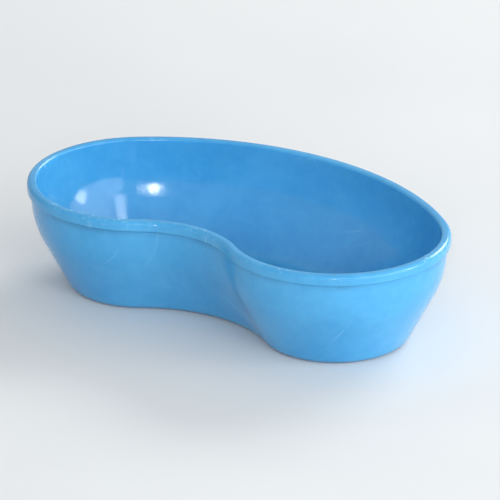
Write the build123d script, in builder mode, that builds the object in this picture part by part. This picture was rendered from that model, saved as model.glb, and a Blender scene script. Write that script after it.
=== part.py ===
from build123d import *
from math import atan2, cos, degrees, hypot, radians, tan
import os

# Kidney dish: an open, kidney-shaped bowl moulded in one piece of blue polypropylene.
# X runs along the dish, +Y is its round back, -Y its hollow waist, and +Z is up.
# The origin is on the table, under the middle of the rim.

# Rim outline, measured over the outside of the rim bead
dish_length = 200.0
dish_width = 116.0
dish_height = 48.0
end_radius = 49.0
waist_depth = 16.0

# Rim: a rounded bead that stands out from the top of the wall
rim_width = 4.2
bead_overhang = 1.6
bead_height = 4.8
bead_round = 1.8
bead_lower_edge = 0.8
bead_root = 0.7
bowl_lip_round = 1.1

# Wall: an almost upright collar, then a soft knuckle and a flared side down to the heel
wall = 2.2
collar_draft = radians(2)
bowl_collar_draft = radians(0.5)
side_flare = radians(28)
knuckle_depth = 17.5
knuckle_radius = 40.0
heel_radius = 5.0
bowl_corner_radius = 8.0

# Base: a thin floor held off the table by a low foot ring
floor = 2.0
foot_height = 0.8
foot_inset = 24.0
foot_step_run = 0.5
foot_edge_radius = 0.3
floor_inset = 30.0

# Scar of the moulding gate, under the middle of the floor
gate_radius = 1.6
gate_height = 0.4
gate_edge_radius = 0.2

# The outline is four tangent arcs: the long back, two round ends and the waist
end_x = dish_length / 2 - end_radius
end_y = end_radius - dish_width / 2
back_rise = dish_width - 2 * end_radius
back_drop = (end_x**2 - back_rise**2) / (2 * back_rise)
back_radius = end_radius + hypot(end_x, back_drop)
back_angle = degrees(atan2(end_x, back_drop))
waist_drop = (end_x**2 - waist_depth**2) / (2 * waist_depth)
waist_radius = hypot(end_x, waist_drop) - end_radius
waist_angle = degrees(atan2(end_x, waist_drop))
end_sweep = 180 + waist_angle - back_angle


def kidney_outline(inset):
    """Draws the rim outline, moved inwards by the inset, anticlockwise."""
    CenterArc((0, end_y - back_drop), back_radius - inset, 90 - back_angle, 2 * back_angle)
    CenterArc((-end_x, end_y), end_radius - inset, 90 + back_angle, end_sweep)
    CenterArc((0, end_y - waist_drop), waist_radius + inset, 90 + waist_angle, -2 * waist_angle)
    CenterArc((end_x, end_y), end_radius - inset, 270 - waist_angle, end_sweep)


# Levels of the wall section, and the insets of its faces at those levels
bead_z = dish_height - bead_height
floor_z = foot_height + floor
knuckle_z = dish_height - knuckle_depth
knuckle_x = bead_overhang + (bead_z - knuckle_z) * tan(collar_draft)
heel_x = knuckle_x + knuckle_z * tan(side_flare)
side_x = knuckle_x + wall / cos(side_flare)
collar_x = rim_width + (dish_height - knuckle_z) * tan(bowl_collar_draft)
bowl_rise = (side_x - collar_x) / (tan(side_flare) - tan(bowl_collar_draft))
bowl_knuckle_z = knuckle_z + bowl_rise
bowl_knuckle_x = rim_width + (dish_height - bowl_knuckle_z) * tan(bowl_collar_draft)
bowl_corner_x = bowl_knuckle_x + (bowl_knuckle_z - floor_z) * tan(side_flare)

# Corners of the wall section as inset, height and rounding, down the outside and up the inside
section_corners = [
    (0, dish_height, bead_round),
    (0, bead_z, bead_lower_edge),
    (bead_overhang, bead_z, bead_root),
    (knuckle_x, knuckle_z, knuckle_radius),
    (heel_x, 0, heel_radius),
    (foot_inset, 0, foot_edge_radius),
    (foot_inset + foot_step_run, foot_height, 0),
    (floor_inset, foot_height, 0),
    (floor_inset, floor_z, 0),
    (bowl_corner_x, floor_z, bowl_corner_radius),
    (bowl_knuckle_x, bowl_knuckle_z, knuckle_radius - wall),
    (rim_width, dish_height, bowl_lip_round),
]

with BuildPart() as dish_body:
    # The section stands across the rim outline, its x pointing into the bowl
    with BuildLine() as rim:
        kidney_outline(0)
    rim_path = rim.wires()[0]
    along = rim_path % 0
    across = Plane(origin=rim_path @ 0, x_dir=Vector(0, 0, 1).cross(along), z_dir=along)
    with BuildSketch(across) as section:
        with BuildLine():
            Polyline([(x, z) for x, z, rounding in section_corners], close=True)
        make_face()
        for x, z, rounding in section_corners:
            if rounding > 0:
                fillet(section.vertices().sort_by_distance((x, z))[0], rounding)
    sweep(path=rim_path)

    with BuildSketch(Plane.XY.offset(foot_height)):
        with BuildLine():
            kidney_outline(floor_inset)
        make_face()
    extrude(amount=floor)

    with BuildSketch(Plane.XY.offset(foot_height)):
        Circle(gate_radius)
    extrude(amount=-gate_height)
    gate_face = dish_body.faces().sort_by_distance((0, 0, foot_height - gate_height))[0]
    fillet(gate_face.edges(), gate_edge_radius)

os.makedirs("parts", exist_ok=True)
dish_body.part.label = "dish_body"
export_step(dish_body.part, "parts/dish_body.step")
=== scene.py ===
"""Kidney dish in glossy blue polypropylene, on a plain pale floor in soft studio light."""
import bpy
import math
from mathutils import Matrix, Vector


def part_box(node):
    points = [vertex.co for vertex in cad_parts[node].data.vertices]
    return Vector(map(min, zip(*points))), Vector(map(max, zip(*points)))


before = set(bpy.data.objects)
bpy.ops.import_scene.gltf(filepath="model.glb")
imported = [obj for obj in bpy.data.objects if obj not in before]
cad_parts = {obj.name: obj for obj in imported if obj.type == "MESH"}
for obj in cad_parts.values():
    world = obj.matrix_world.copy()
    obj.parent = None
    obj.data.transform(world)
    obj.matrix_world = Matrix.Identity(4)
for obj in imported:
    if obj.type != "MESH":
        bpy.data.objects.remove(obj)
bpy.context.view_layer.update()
low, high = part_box("dish_body")
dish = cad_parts["dish_body"]
scene = bpy.context.scene

# Camera: it looks down on the dish from far away, through a long lens
VIEW_AZIMUTH = math.radians(35.5)
VIEW_ELEVATION = math.radians(22.8)
VIEW_DISTANCE = 4.1
VIEW_LENS = 690.0
SENSOR_WIDTH = 36.0
CLIP_NEAR = 0.01
CLIP_FAR = 100.0

# Colours, linear
BLUE_DEEP = (0.050, 0.315, 0.605, 1.0)
BLUE_MILKY = (0.082, 0.385, 0.672, 1.0)
BLUE_SCUFFED = (0.250, 0.540, 0.780, 1.0)
# Darker blue painted into the crease under the bead and along the foot as shade
BLUE_PAINTED_SHADE = (0.040, 0.230, 0.440, 1.0)
FLOOR_PALE = (0.76, 0.76, 0.75, 1.0)
FLOOR_SHADE = (0.73, 0.73, 0.725, 1.0)
SKY = (0.84, 0.88, 0.92, 1.0)
WHITE = (1.0, 1.0, 1.0)
DAYLIGHT = (0.90, 0.96, 1.0)

SKY_STRENGTH = 0.62
FLOOR_SIZE = 14.0

# Heights where each zone of the dish begins and ends
BASE_HEIGHTS = (0.006, 0.010)
FOOT_HEIGHTS = (0.0002, 0.0016)
RIM_HEIGHTS = (high.z - 0.004, high.z - 0.0005)
CREASE_HEIGHTS = (high.z - 0.0085, high.z - 0.0050)

# Scratches: turn in degrees, scale along and across, and the noise that starts and ends a stroke
STROKES = [
    (12.0, 16.0, 900.0, 0.66, 0.75),
    (71.0, 24.0, 1200.0, 0.68, 0.77),
    (131.0, 20.0, 800.0, 0.69, 0.78),
]
WEAR_ON_BOWL_FLOOR = 0.9
WEAR_ELSEWHERE = 0.42
MARK_STRENGTH = 0.85

# Roughness, clean and smudged, and what marks, the underside and the rim add to it
ROUGHNESS_CLEAN = 0.10
ROUGHNESS_SMUDGED = 0.15
ROUGHER_MARKS = 0.30
ROUGHER_UNDERSIDE = 0.22
ROUGHER_RIM = 0.06

# Depths of the relief
WAVE_DEPTH = 0.00008
PEEL_DEPTH = 0.000016
GRAIN_DEPTH = 0.00003
STROKE_DEPTH = 0.00001
FLOOR_GRAIN_DEPTH = 0.00002


def add(tree, kind, place, **properties):
    """Adds a node at a place in the tree and sets its properties."""
    node = tree.nodes.new(kind)
    node.location = place
    for name, value in properties.items():
        setattr(node, name, value)
    return node


def feed(tree, socket, value):
    """Sets a socket to a number or colour, or links another node's output to it."""
    if isinstance(value, bpy.types.NodeSocket):
        tree.links.new(value, socket)
    else:
        socket.default_value = value


def new_material(name):
    material = bpy.data.materials.new(name)
    material.use_nodes = True
    tree = material.node_tree
    tree.nodes.clear()
    output = add(tree, "ShaderNodeOutputMaterial", (1200, 0))
    shader = add(tree, "ShaderNodeBsdfPrincipled", (900, 0))
    tree.links.new(shader.outputs["BSDF"], output.inputs["Surface"])
    return material, tree, shader


def noise(tree, place, vector, scale, detail=2.0, roughness=0.5, distortion=0.0):
    node = add(tree, "ShaderNodeTexNoise", place)
    feed(tree, node.inputs["Vector"], vector)
    feed(tree, node.inputs["Scale"], scale)
    feed(tree, node.inputs["Detail"], detail)
    feed(tree, node.inputs["Roughness"], roughness)
    feed(tree, node.inputs["Distortion"], distortion)
    return node.outputs["Fac"]


def remap(tree, place, value, start, end, to_start=0.0, to_end=1.0):
    """Maps start..end softly to to_start..to_end, and holds the ends beyond them."""
    node = add(tree, "ShaderNodeMapRange", place, interpolation_type="SMOOTHSTEP")
    feed(tree, node.inputs["Value"], value)
    feed(tree, node.inputs["From Min"], start)
    feed(tree, node.inputs["From Max"], end)
    feed(tree, node.inputs["To Min"], to_start)
    feed(tree, node.inputs["To Max"], to_end)
    return node.outputs["Result"]


def calc(tree, place, operation, first, second):
    node = add(tree, "ShaderNodeMath", place, operation=operation)
    feed(tree, node.inputs[0], first)
    feed(tree, node.inputs[1], second)
    return node.outputs["Value"]


def blend(tree, place, factor, first, second):
    """Mixes two colours."""
    node = add(tree, "ShaderNodeMix", place, data_type="RGBA")
    feed(tree, node.inputs["Factor"], factor)
    feed(tree, node.inputs[6], first)
    feed(tree, node.inputs[7], second)
    return node.outputs[2]


def bump(tree, place, height, distance, normal=None):
    node = add(tree, "ShaderNodeBump", place)
    feed(tree, node.inputs["Height"], height)
    feed(tree, node.inputs["Strength"], 1.0)
    feed(tree, node.inputs["Distance"], distance)
    if normal is not None:
        feed(tree, node.inputs["Normal"], normal)
    return node.outputs["Normal"]


def scratches(tree, place, vector, turn, length_scale, width_scale, start, end):
    """Fine scratches in one direction: noise drawn out along it and cut off high."""
    x, y = place
    mapping = add(tree, "ShaderNodeMapping", (x, y))
    feed(tree, mapping.inputs["Vector"], vector)
    mapping.inputs["Rotation"].default_value = (0.0, 0.0, math.radians(turn))
    mapping.inputs["Scale"].default_value = (length_scale, width_scale, length_scale)
    strokes = noise(tree, (x + 200, y), mapping.outputs["Vector"], 1.0, 2.0, 0.5, 0.25)
    return remap(tree, (x + 400, y), strokes, start, end)


def plastic():
    """Moulded blue polypropylene: milky depth, orange peel, dulled base, hairline wear."""
    material, tree, shader = new_material("blue_polypropylene_moulded")
    coordinates = add(tree, "ShaderNodeTexCoord", (-2400, 0))
    point = coordinates.outputs["Object"]
    split_point = add(tree, "ShaderNodeSeparateXYZ", (-2200, -300))
    feed(tree, split_point.inputs[0], point)
    height = split_point.outputs["Z"]
    split_normal = add(tree, "ShaderNodeSeparateXYZ", (-2200, -500))
    feed(tree, split_normal.inputs[0], coordinates.outputs["Normal"])
    facing = split_normal.outputs["Z"]

    # Where the surface is: bowl floor, underside, rim and foot
    faces_up = remap(tree, (-1900, -300), facing, 0.75, 0.97)
    is_low = remap(tree, (-1900, -450), height, *BASE_HEIGHTS, 1.0, 0.0)
    bowl_floor = calc(tree, (-1700, -300), "MULTIPLY", faces_up, is_low)
    faces_down = remap(tree, (-1900, -600), facing, -0.97, -0.75, 1.0, 0.0)
    underside = calc(tree, (-1700, -600), "MULTIPLY", faces_down, is_low)
    rim = remap(tree, (-1900, -750), height, *RIM_HEIGHTS)
    foot = remap(tree, (-1900, -900), height, *FOOT_HEIGHTS, 1.0, 0.0)

    # Wear: strokes in three directions, mostly on the bowl floor and the foot
    strokes = 0.0
    for step, stroke in enumerate(STROKES):
        line = scratches(tree, (-1900, 700 - 200 * step), point, *stroke)
        strokes = calc(tree, (-1200 + 200 * step, 600), "MAXIMUM", strokes, line)
    patches = noise(tree, (-1400, 400), point, scale=34.0, detail=3.0)
    patches = remap(tree, (-1200, 400), patches, 0.45, 0.70)
    worn_floor = calc(tree, (-1200, -300), "MULTIPLY", bowl_floor, WEAR_ON_BOWL_FLOOR)
    worn_where = calc(tree, (-1000, -300), "MAXIMUM", worn_floor, foot)
    worn_where = calc(tree, (-800, -300), "MAXIMUM", worn_where, WEAR_ELSEWHERE)
    worn_where = calc(tree, (-600, -300), "MULTIPLY", worn_where, patches)
    wear = calc(tree, (-400, 400), "MULTIPLY", strokes, worn_where)

    # Rubbed rim: fine specks along the top of the bead
    specks = noise(tree, (-1400, 100), point, scale=380.0, detail=5.0, roughness=0.65)
    specks = remap(tree, (-1200, 100), specks, 0.50, 0.72)
    rubbed = calc(tree, (-1000, 100), "MULTIPLY", specks, rim)
    rubbed = calc(tree, (-800, 100), "MULTIPLY", rubbed, patches)

    # Painted shade: a darker trace in the crease under the bead and along the foot, where shade
    # falls
    outside = remap(tree, (-1900, -1050), facing, -0.03, 0.0, 1.0, 0.0)
    crease = remap(tree, (-1900, -1200), height, *CREASE_HEIGHTS)
    crease = calc(tree, (-1700, -1200), "MULTIPLY", crease, outside)
    painted_shade = calc(tree, (-1500, -1200), "MAXIMUM", crease, foot)
    uneven = remap(tree, (-1500, -1350), patches, 0.0, 1.0, 0.15, 0.55)
    painted_shade = calc(tree, (-1300, -1200), "MULTIPLY", painted_shade, uneven)

    # Colour: broad clouds and a fine mottle, then painted shade and marks over them
    clouds = noise(tree, (-1400, 1000), point, 16.0, 4.0, 0.55, 0.8)
    clouds = remap(tree, (-1200, 1000), clouds, 0.32, 0.68, 0.0, 0.7)
    mottle = noise(tree, (-1400, 1250), point, 150.0, 5.0, 0.65, 0.6)
    mottle = remap(tree, (-1200, 1250), mottle, 0.38, 0.66, 0.0, 0.3)
    milkiness = calc(tree, (-1000, 1100), "ADD", clouds, mottle)
    colour = blend(tree, (-400, 900), milkiness, BLUE_DEEP, BLUE_MILKY)
    # Painted shade: darkens the crease under the bead and the foot
    colour = blend(tree, (-200, 900), painted_shade, colour, BLUE_PAINTED_SHADE)
    marks = calc(tree, (-200, 500), "MAXIMUM", wear, rubbed)
    marks = calc(tree, (0, 500), "MULTIPLY", marks, MARK_STRENGTH)
    colour = blend(tree, (200, 700), marks, colour, BLUE_SCUFFED)
    feed(tree, shader.inputs["Base Color"], colour)

    # Roughness: glossy, with handling smudges, and dull underneath
    rough = noise(tree, (-1400, -1100), point, 42.0, 5.0, 0.6, 0.5)
    rough = remap(tree, (-1200, -1100), rough, 0.35, 0.70, ROUGHNESS_CLEAN, ROUGHNESS_SMUDGED)
    rougher = [(marks, ROUGHER_MARKS), (underside, ROUGHER_UNDERSIDE), (rim, ROUGHER_RIM)]
    for step, (where, amount) in enumerate(rougher):
        extra = calc(tree, (-800 + 200 * step, -1250), "MULTIPLY", where, amount)
        rough = calc(tree, (-600 + 200 * step, -1100), "ADD", rough, extra)
    feed(tree, shader.inputs["Roughness"], rough)

    # Relief: slow waviness, orange peel, a grainy underside, and the marks cut in
    waves = noise(tree, (-1400, -1500), point, scale=38.0, detail=1.0)
    peel = noise(tree, (-1400, -1700), point, scale=620.0, detail=2.0, roughness=0.55)
    grain = noise(tree, (-1400, -1900), point, scale=2600.0, detail=2.0)
    grain = calc(tree, (-1000, -1900), "MULTIPLY", grain, underside)
    uncut = calc(tree, (200, -1950), "SUBTRACT", 1.0, marks)
    normal = bump(tree, (-200, -1500), waves, WAVE_DEPTH)
    normal = bump(tree, (0, -1600), peel, PEEL_DEPTH, normal)
    normal = bump(tree, (200, -1700), grain, GRAIN_DEPTH, normal)
    normal = bump(tree, (400, -1800), uncut, STROKE_DEPTH, normal)
    feed(tree, shader.inputs["Normal"], normal)

    shader.inputs["IOR"].default_value = 1.49
    shader.inputs["Subsurface Weight"].default_value = 0.30
    shader.inputs["Subsurface Radius"].default_value = (0.35, 0.75, 1.0)
    shader.inputs["Subsurface Scale"].default_value = 0.004
    return material


def floor_material():
    """Plain pale studio floor, almost without gloss."""
    material, tree, shader = new_material("studio_floor")
    point = add(tree, "ShaderNodeTexCoord", (-1000, 0)).outputs["Object"]
    clouds = noise(tree, (-700, 0), point, scale=5.0, detail=4.0)
    clouds = remap(tree, (-400, 0), clouds, 0.3, 0.7)
    colour = blend(tree, (0, 0), clouds, FLOOR_PALE, FLOOR_SHADE)
    feed(tree, shader.inputs["Base Color"], colour)
    grain = noise(tree, (-700, -400), point, scale=900.0, detail=2.0)
    feed(tree, shader.inputs["Normal"], bump(tree, (0, -400), grain, FLOOR_GRAIN_DEPTH))
    shader.inputs["Roughness"].default_value = 0.65
    shader.inputs["Specular IOR Level"].default_value = 0.25
    return material


def direction(azimuth, elevation):
    """Unit vector from the dish; azimuth 0 is in front of it, towards -Y."""
    flat = math.cos(elevation)
    x = math.sin(azimuth) * flat
    y = -math.cos(azimuth) * flat
    return Vector((x, y, math.sin(elevation)))


def soft_light(name, turn, elevation, distance, width, height, power, colour):
    """A soft oval light that faces the dish, turned some degrees to the right of the camera."""
    data = bpy.data.lights.new(name, "AREA")
    data.shape = "ELLIPSE"
    data.size = width
    data.size_y = height
    data.energy = power
    data.color = colour
    lamp = bpy.data.objects.new(name, data)
    scene.collection.objects.link(lamp)
    way = direction(VIEW_AZIMUTH + math.radians(turn), math.radians(elevation))
    lamp.location = centre + way * distance
    lamp.rotation_mode = "QUATERNION"
    lamp.rotation_quaternion = way.to_track_quat("Z", "Y")
    return lamp


centre = Vector(((low.x + high.x) / 2, (low.y + high.y) / 2, (low.z + high.z) / 2))

# Dish: the CAD mesh as it is, with a better material
finish = plastic()
for slot in dish.material_slots:
    slot.material = finish

# Floor
bpy.ops.mesh.primitive_plane_add(size=FLOOR_SIZE, location=(0.0, 0.0, 0.0))
floor = bpy.context.object
floor.name = "studio_floor"
floor.data.materials.append(floor_material())

# Light: turn and elevation in degrees, distance, width and height in metres, power in watts
soft_light("window", 76.0, 14.0, 1.6, 0.40, 0.45, 4.0, DAYLIGHT)
soft_light("window_glow", 58.0, 16.0, 1.7, 2.6, 1.2, 17.0, DAYLIGHT)
soft_light("side_window", 27.0, 32.0, 2.2, 0.55, 0.25, 2.6, DAYLIGHT)
fill = soft_light("fill", 10.0, 27.0, 2.6, 3.0, 2.0, 23.0, WHITE)
fill.visible_glossy = False  # it brightens the dish but isn't mirrored in it
soft_light("rim_light", 140.0, 30.0, 2.0, 1.4, 0.7, 20.0, WHITE)
soft_light("lamp", -1.6, 22.2, 3.9, 0.08, 0.8, 22.0, WHITE)

world = bpy.data.worlds.new("studio")
scene.world = world
world.use_nodes = True
background = world.node_tree.nodes["Background"]
background.inputs["Color"].default_value = SKY
background.inputs["Strength"].default_value = SKY_STRENGTH

# Camera
camera_data = bpy.data.cameras.new("camera")
camera = bpy.data.objects.new("camera", camera_data)
scene.collection.objects.link(camera)
back = direction(VIEW_AZIMUTH, VIEW_ELEVATION)
camera.location = centre + back * VIEW_DISTANCE
camera.rotation_mode = "QUATERNION"
camera.rotation_quaternion = (-back).to_track_quat("-Z", "Y")
camera_data.sensor_width = SENSOR_WIDTH
camera_data.lens = VIEW_LENS
camera_data.clip_start = CLIP_NEAR
camera_data.clip_end = CLIP_FAR
scene.camera = camera
scene.view_settings.view_transform = "Standard"
